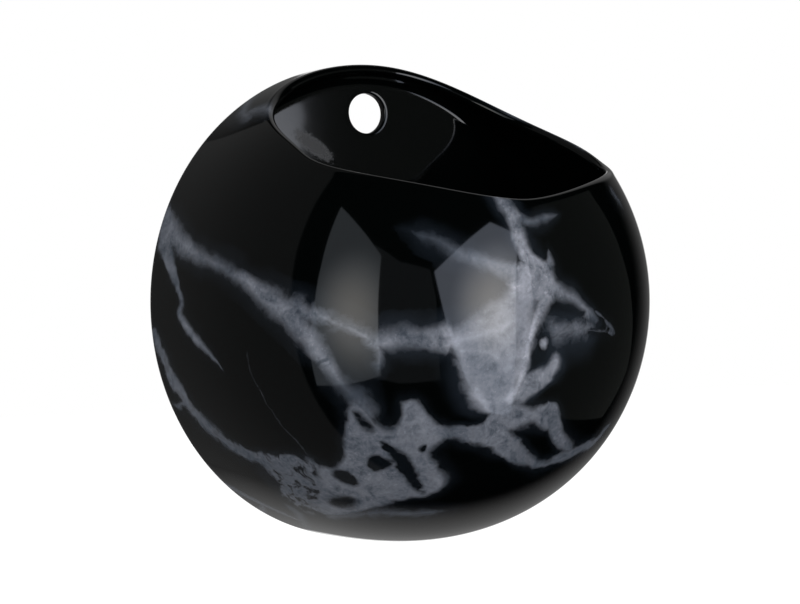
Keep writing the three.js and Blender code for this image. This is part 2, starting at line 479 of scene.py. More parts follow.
class View:
    """The photograph's camera, round the body's axis and in millimetres."""

    def __init__(self):
        a, e = VIEW_AZIMUTH, VIEW_ELEVATION
        right = np.array([math.cos(a), math.sin(a), 0])
        up = np.array([-math.sin(a) * math.sin(e), math.cos(a) * math.sin(e), math.cos(e)])
        forward = np.array([-math.sin(a) * math.cos(e), math.cos(a) * math.cos(e), -math.sin(e)])
        self.eye = LOOKED_AT - forward * VIEW_DISTANCE
        c, s = math.cos(VIEW_ROLL), math.sin(VIEW_ROLL)
        self.right, self.up, self.forward = c * right - s * up, s * right + c * up, forward

    def rays(self, pixels):
        x, y = (np.atleast_2d(pixels) - SEEN_AT).T
        return unit(VIEW_FOCAL * self.forward + x[:, None] * self.right - y[:, None] * self.up)

    def on_pot(self, shape, pixels):
        """The points of the dome that are seen at these places in the picture."""
        rays = self.rays(pixels)
        reach = VIEW_DISTANCE + np.linspace(-SEARCH_REACH, SEARCH_REACH, SEARCH_PLACES)
        outside = shape.outside(self.eye + reach[None, :, None] * rays[:, None, :])
        first = np.maximum((outside <= 0).argmax(1), 1)
        low, high = reach[first - 1], reach[first]
        missed = ~(outside <= 0).any(1)
        low[missed] = reach[outside[missed].argmin(1)]
        high[missed] = low[missed]
        for _ in range(SEARCH_HALVINGS):
            middle = (low + high) / 2
            out = shape.outside(self.eye + middle[:, None] * rays) > 0
            low, high = np.where(out, middle, low), np.where(out, high, middle)
        return self.eye + low[:, None] * rays

    def on_back_panel(self, shape, pixels):
        """The points of the back panel, inside the pot, that are seen at these places in the picture."""
        rays = self.rays(pixels)
        return self.eye - rays * ((shape.back_inside + self.eye[1]) / rays[:, 1])[:, None]

    def mirrored(self, shape, pixels, distance):
        """Where the glaze mirrors to at these places in the picture, at a distance from the pot."""
        points = self.on_pot(shape, pixels)
        normal, ray = shape.normals(points), self.rays(pixels)
        bounced = ray - 2 * (ray * normal).sum(1, keepdims=True) * normal
        return points + bounced * distance


def in_metres(shape, points):
    """Points round the body's axis, in metres from the hanging hole."""
    return (np.atleast_2d(points) + np.array([0, 0, shape.axis_height])) * MM


# ---- Marbling ---------------------------------------------------------------------------------------
# Each vein is a route with its half widths, and each cloud or clearing an outline, read off. Places
# are pixels of the picture, or for the sides that it hides (clock angle, share of the way from the
# nose of the dome to its back edge).

PIXEL = 0.365  # mm of the pot to a pixel of the picture


class Streak:
    """A piece of marbling: its route or outline, its half widths along the route and the softness of
    its edge, both in pixels of the picture, how pale it is from 0 to 1, one value or one to a point of
    the route, how broken up it is, and how strong the haze round it is. A half width below 0 lets its
    end fade away. A bright patch is this much paler than what it lies on."""

    def __init__(self, route, widths=(), edge=3, pale=0.2, broken=0.2, haze=0.5):
        self.route, self.widths = route, widths
        self.edge, self.broken, self.haze = edge, broken, haze
        self.pale = pale if isinstance(pale, list) else [pale] * len(route)


SEEN_VEINS = [
    # From the left edge, across the middle and down.
    Streak([(157, 204), (166, 222), (178, 240), (196, 254), (222, 267), (246, 281), (268, 298),
            (289, 314), (304, 331), (317, 351), (329, 368), (343, 384), (358, 398), (370, 414)],
           [9, 13, 11, 7, 5, 6, 10, 12, 11, 8, 6, 7, 8, 7], 6,
           [0.12, 0.15, 0.18, 0.2, 0.1, 0.22, 0.22, 0.22, 0.24, 0.28, 0.24, 0.05, 0.02, 0.08],
           0.15, 0.4),
    Streak([(150, 214), (160, 227), (170, 240)], [6, 11, 8], 6, 0.1, 0.2, 0.3),
    Streak([(286, 302), (305, 310), (320, 317), (336, 322), (352, 329), (368, 339), (378, 349),
            (377, 366)],
           [5, 8, 8, 6, 5, 5, 5, 3], 6, [0.12, 0.15, 0.12, 0.1, 0.12, 0.2, 0.25, 0.15], 0.3, 0.5),
    Streak([(163, 238), (169, 262), (177, 286), (181, 303), (179, 314), (187, 328), (199, 342),
            (211, 356), (223, 371)],
           [12, 8, 4.5, 3, 4.2, 4.6, 3.8, 2.4, 0.2], 3,
           [0.1, 0.12, 0.1, 0.15, 0.18, 0.18, 0.16, 0.12, 0.06], 0.05, 0.15),
    # Low on the left, widening into the mass at the bottom.
    Streak([(153, 334), (161, 354), (172, 380), (187, 403), (201, 421), (219, 437), (240, 451),
            (264, 464), (288, 474)],
           [8, 9, 10, 10, 10, 9, 9, 10, 10], 4,
           [0.12, 0.14, 0.2, 0.2, 0.14, 0.12, 0.1, 0.08, 0.1], 0.4, 0.25),
    Streak([(186, 404), (178, 406), (171, 403)], [5, 3.5, 0.5], 2.5, 0.06, 0.3, 0.2),
    Streak([(290, 508), (299, 515), (304, 524), (309, 531)], [6, 6, 4.5, 3], 5, 0.0, 0.1, 0.15),
    Streak([(330, 518), (360, 515), (388, 513), (412, 514), (436, 513), (458, 509)],
           [4, 4, 6, 6, 3, -5], 8, 0.08, 0.2, 0.3),
    # Across the middle to the big cloud.
    Streak([(374, 344), (388, 341), (404, 338), (424, 338), (448, 338)], [7, 9, 9, 9, 13], 6,
           [0.24, 0.2, 0.16, 0.18, 0.26], 0.12, 0.9),
    # Down from the rim.
    Streak([(497, 189), (504, 203), (511, 214), (517, 230), (522, 246), (530, 259), (541, 270)],
           [7, 7, 7, 7, 7, 8, 8], 4, [0.06, 0.26, 0.4, 0.44, 0.5, 0.45, 0.42], 0.1, 0.9),
    Streak([(515, 217), (524, 220), (533, 222), (545, 218), (556, 214)], [4, 3.4, 3, 2.6, 0.3],
           3.2, 0.08, 0, 0.6),
    Streak([(546, 270), (551, 261), (549, 251)], [5, 3.4, 0.2], 2.6, 0.28, 0, 0.2),
    Streak([(400, 228), (410, 231), (420, 234), (436, 241), (456, 251), (476, 260), (496, 267),
            (514, 272)], [-8, -3, 2, 3.5, 4.5, 6, 7, 8], 6,
           [0, 0, 0, 0.02, 0.07, 0.1, 0.16, 0.3], 0.15, 0.6),
    # The pointed end on the right.
    Streak([(551, 286), (568, 297), (580, 306), (590, 314), (597, 320)], [7, 6, 5, 5, 1.5], 4,
           [0.28, 0.22, 0.2, 0.16, 0.05], 0.1, 0.6),
    Streak([(596, 311), (603, 317), (609, 325), (614, 334), (602, 332), (586, 332)],
           [0.9, 1.0, 1.2, 1.3, 1.0, 1.6], 1.8, 0.12, 0.45, 0),
    # Round the knot above the big cloud, and down its right side.
    Streak([(524, 266), (517, 274), (513, 284), (517, 292), (528, 297)], [5, 6, 6, 5, 5], 5,
           [0.3, 0.5, 0.6, 0.7, 0.55], 0.2, 0.2),
    Streak([(542, 266), (549, 278), (551, 291), (543, 305), (534, 322), (529, 339), (525, 358),
            (520, 380), (511, 400)],
           [7, 7, 7, 7, 6, 5, 5, 6, 8], 4, [0.42, 0.42, 0.36, 0.4, 0.6, 0.8, 0.6, 0.5, 0.3],
           0.1, 0.3),
    # Along the bottom of the front.
    Streak([(434, 434), (452, 432), (472, 434), (492, 437), (508, 446), (524, 459), (542, 464),
            (562, 457), (581, 449), (596, 441), (610, 424)],
           [8, 7, 9, 12, 12, 8, 5, 7, 7, 6, 3], 3,
           [0.14, 0.12, 0.2, 0.25, 0.2, 0.14, 0.14, 0.14, 0.14, 0.12, 0.08], 0.3, 0.4),
    Streak([(551, 408), (555, 424), (560, 440), (571, 448)], [8, 8, 7, 5], 3, 0.16, 0.1, 0.3),
    # Soft patches near the left of the rim and on the right side.
    Streak([(246, 113), (262, 108), (276, 110)], [1, 4, 2], 10, 0.12, 0, 0.3),
    Streak([(611, 189), (616, 197), (621, 205)], [0.5, 2.4, 0.5], 6, 0.02, 0, 0.1),
]

HAIRLINE = Streak([(246, 353), (250, 372), (262, 396), (277, 420), (293, 438), (311, 458)],
                  [0.4] * 6)

SEEN_CLOUDS = [
    # The big cloud, and the knot above it.
    Streak([(450, 335), (461, 325), (474, 314), (489, 303), (502, 295), (512, 286), (534, 290),
            (536, 318), (532, 338), (528, 358), (522, 380), (515, 400), (505, 411), (492, 415),
            (480, 411), (470, 402), (464, 388), (460, 370), (455, 356), (448, 345)],
           edge=7, pale=0.2, broken=0.2, haze=0.9),
    Streak([(512, 270), (528, 262), (545, 266), (553, 282), (548, 298), (530, 302), (514, 292)],
           edge=4, pale=0.33, broken=0.15, haze=0.6),
    # Lobes at its right.
    Streak([(550, 320), (562, 323), (578, 321), (592, 326), (586, 334), (570, 336), (556, 342),
            (550, 334)],
           edge=7, pale=0.23, broken=0.3, haze=1.3),
    Streak([(556, 353), (560, 362), (554, 375), (549, 384), (538, 391), (524, 401), (515, 398),
            (522, 380), (532, 370), (546, 366)],
           edge=3.5, pale=0.27, broken=0.05, haze=1.4),
    Streak([(492, 412), (515, 404), (533, 407), (551, 404), (559, 414), (556, 426), (545, 429),
            (532, 423), (514, 430), (496, 434), (480, 430)],
           edge=4, pale=0.22, broken=0.2, haze=0.5),
    # Below the middle.
    Streak([(403, 403), (411, 400), (420, 402), (427, 411), (434, 421), (444, 428), (446, 438),
            (437, 446), (431, 455), (438, 465), (447, 477), (443, 489), (428, 496), (408, 500),
            (390, 504), (366, 511), (342, 516), (320, 514), (314, 500), (318, 484), (312, 470),
            (322, 466), (334, 468), (343, 455),
            (345, 436), (347, 414), (352, 400), (362, 405), (374, 420), (386, 431), (396, 427),
            (400, 415)],
           edge=3.4, pale=0.18, broken=0.2, haze=0.3),
    Streak([(250, 452), (268, 454), (286, 455), (302, 458), (318, 466), (322, 484), (320, 514),
            (302, 511), (286, 499), (272, 486), (260, 472)],
           edge=4, pale=0.17, broken=0.85, haze=0.4),
]

SEEN_CLEARINGS = [
    Streak([(553, 303), (566, 300), (578, 305), (585, 313), (576, 319), (558, 317)], edge=5),
    Streak([(538, 331), (547, 328), (553, 343), (551, 358), (541, 364), (537, 352)], edge=3.5),
    Streak([(334, 469), (346, 471), (358, 479), (357, 486), (344, 484), (332, 476)], edge=4),
    Streak([(354, 412), (362, 418), (372, 428), (370, 432), (360, 424)], edge=4),
    Streak([(378, 441), (386, 443), (395, 451), (393, 456), (383, 450)], edge=1.6),
    Streak([(371, 456), (380, 456), (387, 461), (396, 459), (392, 466), (382, 471), (371, 471),
            (367, 463)], edge=3.4),
    Streak([(392, 449), (401, 453), (411, 462), (418, 475), (424, 494), (414, 489), (404, 477),
            (395, 464)], edge=4),
    Streak([(419, 446), (427, 444), (427, 452), (420, 453)], edge=2),
    Streak([(518, 429), (529, 429), (540, 439), (551, 453), (549, 461), (538, 456), (525, 445)],
           edge=6),
    Streak([(248, 462), (262, 465), (272, 477), (278, 490), (268, 490), (254, 480)], edge=5),
    Streak([(329, 499), (343, 496), (357, 501), (349, 507), (333, 506)], edge=6),
]
ISLET = Streak([(541, 345), (542, 340), (545, 338), (547, 341), (546, 346), (543, 348)], edge=1.6,
               pale=0.36, broken=0, haze=0)

# Where the thick of the marbling is paler.
BRIGHT_PATCHES = [
    Streak([(517, 250), (526, 256), (530, 270), (531, 285), (533, 303), (536, 322), (533, 340),
            (524, 348), (516, 345), (516, 300), (517, 275)],
           edge=2, pale=0.27),
    Streak([(524, 342), (533, 340), (529, 366), (520, 388), (511, 404), (507, 398), (514, 380),
            (515, 350)], edge=4, pale=0.26),
    Streak([(444, 326), (458, 330), (464, 352), (474, 384), (491, 412), (478, 412), (462, 390),
            (450, 366), (443, 345)], edge=5, pale=0.2),
    Streak([(557, 360), (558, 368), (552, 378), (543, 384), (541, 376)], edge=4, pale=0.16),
    Streak([(498, 302), (512, 298), (512, 330), (512, 372), (502, 360), (496, 330)], edge=6,
           pale=0.14),
    Streak([(406, 404), (416, 402), (428, 414), (440, 428), (434, 436), (420, 432), (410, 420)],
           edge=10, pale=0.15),
    Streak([(512, 286), (518, 286), (528, 296), (524, 302), (514, 298)], edge=4, pale=0.3),
]
ACCENTS = [
    Streak([(449, 345), (462, 339), (478, 335), (494, 331), (508, 324), (520, 320)],
           [2, 3, 3, 3.4, 2.4, 1], 4),
    Streak([(462, 352), (474, 351), (488, 353), (500, 360)], [0.8, 1.6, 1.6, 0.6], 3),
    Streak([(471, 392), (484, 400), (500, 402), (512, 394)], [1, 2, 2, 1], 4),
    Streak([(322, 317), (334, 322), (348, 329), (366, 338)], [1, 1.6, 1, 1], 3),
]

# A scuff on the back panel, beside the hole, where the glaze is dulled: two pixels of the picture.
SCUFF_ENDS = [(294, 131), (334, 160)]
SCUFF_HALF_WIDTH, SCUFF_DEPTH = 3.2, 3  # mm

# On the sides and underneath, out of the picture: (clock angle, share of the way to the back).
HIDDEN_VEINS = [
    Streak([(98, 0.56), (88, 0.64), (80, 0.72), (68, 0.8), (60, 0.9), (52, 1.0)],
           [2, 6, 9, 5, 7, 9], 7, [0.2, 0.25, 0.4, 0.3, 0.25, 0.2], 0.12, 0.8),
    Streak([(80, 0.72), (92, 0.78), (104, 0.86), (112, 0.94), (115, 1.0)],
           [8, 9, 5, 3, 4], 6, 0.3, 0.12, 0.8),
    Streak([(118, 0.55), (126, 0.64), (130, 0.74), (140, 0.82), (146, 0.92), (148, 1.0)],
           [3, 6, 10, 12, 8, 7], 6, 0.22, 0.15, 0.7),
    Streak([(130, 0.74), (118, 0.78), (112, 0.84)], [7, 4, -3], 5, 0.2, 0.1, 0.5),
    Streak([(186, 0.82), (178, 0.86), (172, 0.92), (160, 1.0)],
           [5, 8, 7, 6], 3.4, 0.1, 0.4, 0.4),
    Streak([(206, 0.86), (214, 0.92), (222, 1.0)], [3, 6, 5], 3, 0.1, 0.2, 0.3),
    Streak([(48, 0.66), (40, 0.76), (36, 0.88), (30, 1.0)], [1, 3, 5, 6], 7, 0.1, 0.1, 0.6),
    Streak([(318, 0.88), (322, 0.95), (328, 1.0)], [2, 4, 3], 7, 0.1, 0.1, 0.4),
]
HIDDEN_CLOUDS = [
    Streak([(80, 0.71), (90, 0.75), (98, 0.74), (106, 0.8), (112, 0.84), (103, 0.87), (99, 0.93),
            (92, 0.9), (90, 0.83), (82, 0.85), (77, 0.8), (74, 0.75)],
           edge=8, pale=0.4, broken=0.12, haze=0.9),
    Streak([(134, 0.74), (142, 0.78), (152, 0.84), (158, 0.94), (149, 0.9), (143, 0.96),
            (137, 0.88), (129, 0.84)],
           edge=6, pale=0.25, broken=0.15, haze=0.7),
]

HAZE_REACH = 7  # mm out from the edge of a vein to where its haze ends
ACCENT_REACH = 3
FAR_LEVEL = 20  # mm outside, where no marbling is near
LOOK_STEEPNESS = 1.5  # how soon the look of one streak gives way to the next
LOOK_LIMITS = (-9, 3)  # past these a streak lends no less and no more of its look


def smooth_line(points, closed=False, steps=12):
    """A smooth line through given points."""
    p = np.array(points, float)
    p = np.concatenate([p[-1:], p, p[:2]]) if closed else np.concatenate(
        [2 * p[:1] - p[1:2], p, 2 * p[-1:] - p[-2:-1]]
    )
    t = np.linspace(0, 1, steps, endpoint=False)[:, None]
    line = [
        0.5 * (2 * b + (c - a) * t + (2 * a - 5 * b + 4 * c - d) * t**2
               + (3 * b - 3 * c + d - a) * t**3)
        for a, b, c, d in zip(p, p[1:], p[2:], p[3:])
    ]
    return np.concatenate(line + ([] if closed else [p[-2:-1]]))


class Painter:
    """Works out how far each point of the glaze is from each streak of marbling."""

    def __init__(self, shape, view, points):
        self.shape, self.view, self.points = shape, view, points
        self.disc = shape.disc(points)

    def seen(self, places):
        return self.view.on_pot(self.shape, places)

    def hidden(self, places):
        clock, share = np.radians(places[:, 0]), places[:, 1]
        return self.shape.outer.turned(np.stack([np.sin(clock), np.cos(clock)], 1) * share[:, None])

    def nearest(self, line):
        """For each point: the nearest place on a line, by number, and the way there."""
        best = np.full(len(self.points), np.inf)
        index = np.zeros(len(self.points), int)
        for i, place in enumerate(line):
            away = ((self.points - place) ** 2).sum(1)
            closer = away < best
            best[closer], index[closer] = away[closer], i
        return index, self.points - line[index]

    def vein(self, vein, place):
        """Signed distance across a vein, its half width, which falls off past the vein's ends, and how
        pale it is."""
        line = place(smooth_line(vein.route))
        widths, pale = smooth_line(list(zip(vein.widths, vein.pale))).T
        along = unit(np.gradient(line, axis=0))
        index, offset = self.nearest(line)
        sideways = unit(np.cross(self.shape.normals(line), along))
        past = (offset * along[index]).sum(1)
        past = np.where((index == 0) | (index == len(line) - 1), np.abs(past), 0)
        return (offset * sideways[index]).sum(1), widths[index] * PIXEL - past, pale[index]

    def cloud(self, cloud, place):
        """Signed distance to an outline, more than 0 inside, and how pale it is."""
        line = place(smooth_line(cloud.route, closed=True, steps=8))
        _, offset = self.nearest(line)
        x, y = self.disc.T
        inside = np.zeros(len(x), bool)
        outline = self.shape.disc(line)
        for (x0, y0), (x1, y1) in zip(outline, np.roll(outline, -1, axis=0)):
            if y0 != y1:
                crosses = (y0 > y) != (y1 > y)
                inside ^= crosses & (x < (x1 - x0) * (y - y0) / (y1 - y0) + x0)
        return np.linalg.norm(offset, axis=1) * np.where(inside, 1, -1), cloud.pale[0]


def paint(piece, shape, view):
    """Stores on the mesh how far each point is from the marbling: for strips as (signed distance, half
    width, softness), for areas as (signed distance, how pale, softness), with lengths in mm. Veins near
    each other go on different layers, so that the distances on a layer change smoothly. Returns how
    many layers the veins take, and how many the accents."""
    points = np.empty(len(piece.data.vertices) * 3)
    piece.data.vertices.foreach_get("co", points)
    points = points.reshape(-1, 3) / MM - np.array([0, 0, shape.axis_height])
    painter = Painter(shape, view, points)
    count = len(points)
    look, weight = np.zeros((count, 3)), np.full((count, 1), 1e-6)

    def lend_look(streak, pale, level):
        nonlocal look, weight
        share = np.exp(np.clip(level * LOOK_STEEPNESS, *LOOK_LIMITS))[:, None]
        own = np.stack([pale + 0 * level, streak.broken + 0 * level, streak.haze + 0 * level], 1)
        look, weight = look + share * own, weight + share

    def strips(streaks, reach):
        layers, taken = [], []
        for streak, place in streaks:
            distance, half, pale = painter.vein(streak, place)
            inside, edge = half - np.abs(distance), streak.edge * PIXEL
            zone, near = inside > -reach, inside > -2 * reach
            for layer, used in zip(layers, taken):
                if not (used & near).any():
                    break
            else:
                layer, used = np.tile([0.0, -FAR_LEVEL, 1.0], (count, 1)), np.zeros(count, bool)
                layers.append(layer)
                taken.append(used)
            layer[zone] = np.stack([distance, half, np.full(count, edge)], 1)[zone]
            used |= near
            if reach == HAZE_REACH:
                lend_look(streak, pale, inside / edge)
        return layers

    def areas(streaks, lends):
        kept = np.tile([-FAR_LEVEL, 0.0, 1.0], (count, 1))
        for streak, place in streaks:
            distance, pale = painter.cloud(streak, place)
            edge = streak.edge * PIXEL
            better = distance / edge > kept[:, 0] / kept[:, 2]
            kept[better] = np.stack([distance, pale + 0 * distance, np.full(count, edge)], 1)[better]
            if lends:
                lend_look(streak, pale, distance / edge)
        return kept

    seen, hidden = painter.seen, painter.hidden
    layers = strips([(v, seen) for v in SEEN_VEINS] + [(v, hidden) for v in HIDDEN_VEINS], HAZE_REACH)
    accents = strips([(a, seen) for a in ACCENTS], ACCENT_REACH)
    stored = {f"vein_{i}": layer for i, layer in enumerate(layers)}
    stored.update({f"accent_{i}": layer for i, layer in enumerate(accents)})
    stored["hairline"] = strips([(HAIRLINE, seen)], ACCENT_REACH)[0]
    stored["cloud"] = areas([(c, seen) for c in SEEN_CLOUDS] + [(c, hidden) for c in HIDDEN_CLOUDS], True)
    stored["clearing"] = areas([(c, seen) for c in SEEN_CLEARINGS], False)
    stored["islet"] = areas([(ISLET, seen)], True)
    stored["bright"] = areas([(b, seen) for b in BRIGHT_PATCHES], False)
    stored["look"] = look / weight
    for name, values in stored.items():
        attribute = piece.data.attributes.new(name, "FLOAT_VECTOR", "POINT")
        attribute.data.foreach_set("vector", values.ravel())
    return len(layers), len(accents)


# ---- Materials --------------------------------------------------------------------------------------

MIX_A, MIX_B, MIX_RESULT = 6, 7, 2  # a Mix node's sockets for colours
X, Y, Z = 0, 1, 2  # outputs of a Separate XYZ node

GLAZE_IOR = 1.5
GLAZE_ROUGHNESS = 0.05
PEEL_SIZE, PEEL_HEIGHT = 16, 0.02  # mm, the faint waves of a fired glaze
SCUFF_ROUGHNESS = 0.3
SCRATCH_SIZE, SCRATCH_SWING = 0.9, 0.35  # mm, and a share of half the scuff

# Stirring and edges: how far apart the features are, and how far they move things, in mm.
SWIRL_SIZE, SWIRL_SHIFT = 14, 16
WANDER_SIZE, WANDER_SHIFT = 8, 0.75
RAGGED_SIZE, RAGGED_SHIFT = 3, 0.3
SOFTER_SIZE, SOFTER_SWING = 17, 0.55  # the swing is a share of an edge's softness

# Levels say how far inside the marbling a place is, in softnesses of its edge. Outside they are below 0.
EDGE_FADE = 1.2  # the marbling fades from this level to the same below 0
DEEPEST_LEVEL = 1.3  # places further in are worn by the islands as if they were here
CLEARING_STRENGTH = 1.3  # how much more than its own level a clearing takes away
# The levels where the hairline and the haze begin and are full, and the most that they cover.
HAIRLINE_EDGE, HAIRLINE_COVER = (-0.3, 0.1), 0.12
HAZE_EDGE, HAZE_COVER = (-4.5, 1), 0.65

# Patterns in the marbling: how far apart the features are in mm, and how much they do.
ISLAND_SIZE, ISLAND_STRENGTH = 6, 3.4
BLOTCH_SIZE, BLOTCH_SWING = 6, 1.0
MOTTLE_SIZE, MOTTLE_SWING = 1.3, 0.24
WISP_SIZE, WISP_STRENGTH = 5, 0.8
WISP_ANGLE, WISP_SCALE = math.radians(28), (0.45, 1, 1.6)  # their slant, and how they are drawn out
SPECK_SIZE, SPECK_STRENGTH = 1.1, 0.9
PATTERN_SHARE, LEAST_PATTERN = 0.9, 0.07  # pale marbling shows more of the blotches and wisps
ACCENT_PALENESS = 0.22

CLAY_IOR = 1.5
CLAY_ROUGHNESS = 0.85
CLAY_GRAIN_SIZE, CLAY_GRAIN_HEIGHT = 0.9, 0.2  # mm
FLOOR_WHITENESS = 0.8  # share of the light that it scatters
FLOOR_LIFT = 0.8  # how much brighter it looks to the camera


def add(tree, kind, inputs=None, **settings):
    """Adds a shader node with its settings, and gives its inputs values or links. A node that is given
    as an input stands for its first output."""
    new = tree.nodes.new("ShaderNode" + kind)
    for name, value in settings.items():
        setattr(new, name, value)
    for key, value in (inputs or {}).items():
        if isinstance(value, bpy.types.Node):
            value = value.outputs[0]
        if isinstance(value, bpy.types.NodeSocket):
            tree.links.new(value, new.inputs[key])
        else:
            new.inputs[key].default_value = value
    return new


def new_material(name):
    material = bpy.data.materials.new(name)
    material.use_nodes = True
    material.node_tree.nodes.clear()
    return material, material.node_tree


def per_metre(millimetres):
    """The scale of a texture whose features are this far apart."""
    return 1 / (millimetres * MM)


def opaque(colour):
    return (*colour, 1)


def marbled_glaze(colours, layers, accents, scuff):
    """Stoneware under a black glaze, with the marbling floated on to it before a clear gloss coat was
    fired over both. It looks wet and deep, mirrors sharply, and the marbling has no edge to the touch."""
    material, tree = new_material("Marbled gloss glaze on stoneware")
    place = add(tree, "TexCoord").outputs["Object"]

    def ripple(millimetres, swing, detail=3, roughness=0.5, where=place):
        """Noise that mostly keeps within this swing to either side of 0."""
        noise = add(tree, "TexNoise",
                    {"Vector": where, "Scale": per_metre(millimetres), "Detail": detail,
                     "Roughness": roughness})
        return add(tree, "Math", {0: noise, 1: 4 * swing, 2: -2 * swing}, operation="MULTIPLY_ADD")

    def stored(name):
        vector = add(tree, "Attribute", attribute_name=name).outputs["Vector"]
        return add(tree, "SeparateXYZ", {0: vector}).outputs

    # Swirls, for everything that was stirred while it was wet.
    stir = add(tree, "TexNoise", {"Vector": place, "Scale": per_metre(SWIRL_SIZE), "Detail": 2})
    stir = add(tree, "VectorMath", {0: stir.outputs["Color"], 1: (0.5, 0.5, 0.5)}, operation="SUBTRACT")
    stir = add(tree, "VectorMath", {0: stir, "Scale": SWIRL_SHIFT * MM}, operation="SCALE")
    swirled = add(tree, "VectorMath", {0: place, 1: stir})

    # Wide and fine wanderings of every edge, and stretches where it is sharper or softer.
    wander = ripple(WANDER_SIZE, WANDER_SHIFT, detail=2)
    ragged = ripple(RAGGED_SIZE, RAGGED_SHIFT, detail=4)
    softer = add(tree, "Math", {0: ripple(SOFTER_SIZE, SOFTER_SWING, detail=1), 1: 1.0})

    def level_of(inside, softness):
        """How far inside the marbling, in softnesses of its edge."""
        inside = add(tree, "Math", {0: inside, 1: ragged})
        softness = add(tree, "Math", {0: softness, 1: softer}, operation="MULTIPLY")
        return add(tree, "Math", {0: inside, 1: softness}, operation="DIVIDE")

    def strip_level(name):
        mm = stored(name)
        shifted = add(tree, "Math", {0: mm[X], 1: wander})
        away = add(tree, "Math", {0: shifted}, operation="ABSOLUTE")
        return level_of(add(tree, "Math", {0: mm[Y], 1: away}, operation="SUBTRACT"), mm[Z])

    def area_level(name):
        mm = stored(name)
        return level_of(add(tree, "Math", {0: mm[X], 1: wander}), mm[Z])

    def largest(levels):
        first, *others = levels
        for other in others:
            first = add(tree, "Math", {0: first, 1: other}, operation="MAXIMUM")
        return first

    def cover_of(level):
        """From 0 outside the marbling to 1 inside it, across its soft edge."""
        return add(tree, "MapRange", {"Value": level, "From Min": -EDGE_FADE, "From Max": EDGE_FADE},
                   interpolation_type="SMOOTHSTEP")

    whole = largest([area_level("cloud")] + [strip_level(f"vein_{i}") for i in range(layers)])
    cleared = add(tree, "Math", {0: area_level("clearing"), 1: -CLEARING_STRENGTH},
                  operation="MULTIPLY")
    level = add(tree, "Math", {0: whole, 1: cleared}, operation="MINIMUM")
    level = largest([level, area_level("islet")])
    look = stored("look")
    pale, broken, haze = look[X], look[Y], look[Z]

    # The marbling is thin in the middle too, where the black shows through in islands.
    islands = add(tree, "TexNoise",
                  {"Vector": swirled, "Scale": per_metre(ISLAND_SIZE), "Detail": 5,
                   "Roughness": 0.62})
    islands = add(tree, "MapRange", {"Value": islands, "From Min": 0.43, "From Max": 0.62,
                                     "To Max": ISLAND_STRENGTH})
    islands = add(tree, "Math", {0: islands, 1: broken}, operation="MULTIPLY")
    held = add(tree, "Math", {0: level, 1: DEEPEST_LEVEL}, operation="MINIMUM")
    held = add(tree, "Math", {0: held, 1: islands}, operation="SUBTRACT")
    hair = add(tree, "MapRange",
               {"Value": strip_level("hairline"), "From Min": HAIRLINE_EDGE[0],
                "From Max": HAIRLINE_EDGE[1], "To Max": HAIRLINE_COVER})
    cover = largest([cover_of(held), hair])

    # A blue haze of the finest pigment spreads round it.
    spread = add(tree, "MapRange",
                 {"Value": whole, "From Min": HAZE_EDGE[0], "From Max": HAZE_EDGE[1],
                  "To Max": HAZE_COVER}, interpolation_type="SMOOTHERSTEP")
    spread = add(tree, "Math", {0: spread, 1: haze}, operation="MULTIPLY", use_clamp=True)
    marbled = add(tree, "Attribute", attribute_name="marbled").outputs["Fac"]
    spread = add(tree, "Math", {0: spread, 1: marbled}, operation="MULTIPLY")
    cover = add(tree, "Math", {0: cover, 1: marbled}, operation="MULTIPLY")

    # Thicker and thinner pigment: blotches, combed wisps, brighter lines and patches, and fine specks.
    swing = add(tree, "Math", {0: pale, 1: PATTERN_SHARE, 2: LEAST_PATTERN}, operation="MULTIPLY_ADD")
    blotches = add(tree, "Math", {0: ripple(BLOTCH_SIZE, BLOTCH_SWING, 5, 0.62, swirled),
                                  1: ripple(MOTTLE_SIZE, MOTTLE_SWING, detail=2)})
    blotches = add(tree, "Math", {0: blotches, 1: swing}, operation="MULTIPLY")
    combed = add(tree, "Mapping",
                 {"Vector": swirled, "Rotation": (0, WISP_ANGLE, 0), "Scale": WISP_SCALE})
    wisps = add(tree, "TexNoise",
                {"Vector": combed, "Scale": per_metre(WISP_SIZE), "Detail": 4, "Roughness": 0.6,
                 "Gain": 1.2}, noise_type="RIDGED_MULTIFRACTAL")
    wisps = add(tree, "MapRange", {"Value": wisps, "From Min": 0.3, "From Max": 1.5,
                                   "To Max": WISP_STRENGTH})
    wisps = add(tree, "Math", {0: wisps, 1: swing}, operation="MULTIPLY")
    accent = add(tree, "Math",
                 {0: cover_of(largest([strip_level(f"accent_{i}") for i in range(accents)])),
                  1: ACCENT_PALENESS}, operation="MULTIPLY")
    patch = add(tree, "Math", {0: cover_of(area_level("bright")), 1: stored("bright")[Y]},
                operation="MULTIPLY")
    specks = add(tree, "TexNoise",
                 {"Vector": place, "Scale": per_metre(SPECK_SIZE), "Detail": 3, "Roughness": 0.6})
    specks = add(tree, "MapRange", {"Value": specks, "From Min": 0.6, "From Max": 0.75,
                                    "To Max": SPECK_STRENGTH})
    specks = add(tree, "Math", {0: specks, 1: pale}, operation="MULTIPLY")
    thick = pale
    for part in (blotches, wisps, accent, patch, specks):
        thick = add(tree, "Math", {0: thick, 1: part})
    thick = add(tree, "Clamp", {0: thick})

    pigment = add(tree, "Mix",
                  {0: thick, MIX_A: opaque(colours.grey), MIX_B: opaque(colours.pale)},
                  data_type="RGBA").outputs[MIX_RESULT]
    ground = add(tree, "Mix",
                 {0: spread, MIX_A: opaque(colours.black), MIX_B: opaque(colours.haze)},
                 data_type="RGBA").outputs[MIX_RESULT]
    colour = add(tree, "Mix", {0: cover, MIX_A: ground, MIX_B: pigment},
                 data_type="RGBA").outputs[MIX_RESULT]

